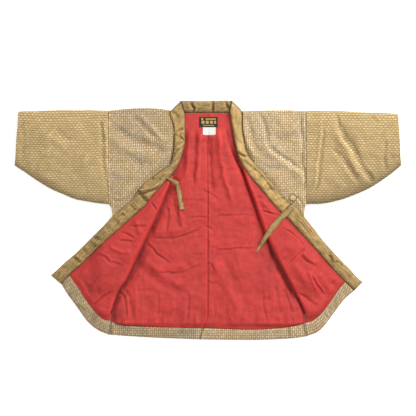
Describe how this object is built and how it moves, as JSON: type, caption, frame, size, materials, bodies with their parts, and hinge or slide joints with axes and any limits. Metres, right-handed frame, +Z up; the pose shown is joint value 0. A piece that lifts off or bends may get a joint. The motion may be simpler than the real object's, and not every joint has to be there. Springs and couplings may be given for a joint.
{
  "type": "padded hanten jacket laid open",
  "caption": "Short wadded jacket laid on its back with its fronts turned open: wide sleeves, a padded collar band, a red lining and tie tapes.",
  "frame": {"origin": "middle of the outline, on the surface that the jacket lies on", "axes": "+X to the right of someone looking down with the neck away from them, +Y towards the neck, +Z up from the surface"},
  "size_m": [1.237, 0.7682, 0.0351],
  "materials": {
    "sleeve": "matt woven cotton, mustard, with rows of pale dashes",
    "body": "matt woven cotton, beige, with a fine pale grid",
    "collar": "matt plain khaki slub cotton",
    "lining": "plain coral-red cotton, slightly smooth",
    "label": null,
    "care_label": "white tape, bare"
  },
  "bodies": {
    "root": {"back_left": "body", "back_lining_left": "lining", "front_lining_left": "lining", "front_left": "body", "sleeve_left": "sleeve", "collar_left": "collar", "collar_left_turned": "collar", "tie_left": "collar", "back_right": "body", "back_lining_right": "lining", "front_lining_right": "lining", "front_right": "body", "sleeve_right": "sleeve", "collar_right": "collar", "collar_right_turned": "collar", "tie_right": "collar", "collar_back": "collar", "label": "label", "care_label": "care_label"}
  },
  "joints": []
}
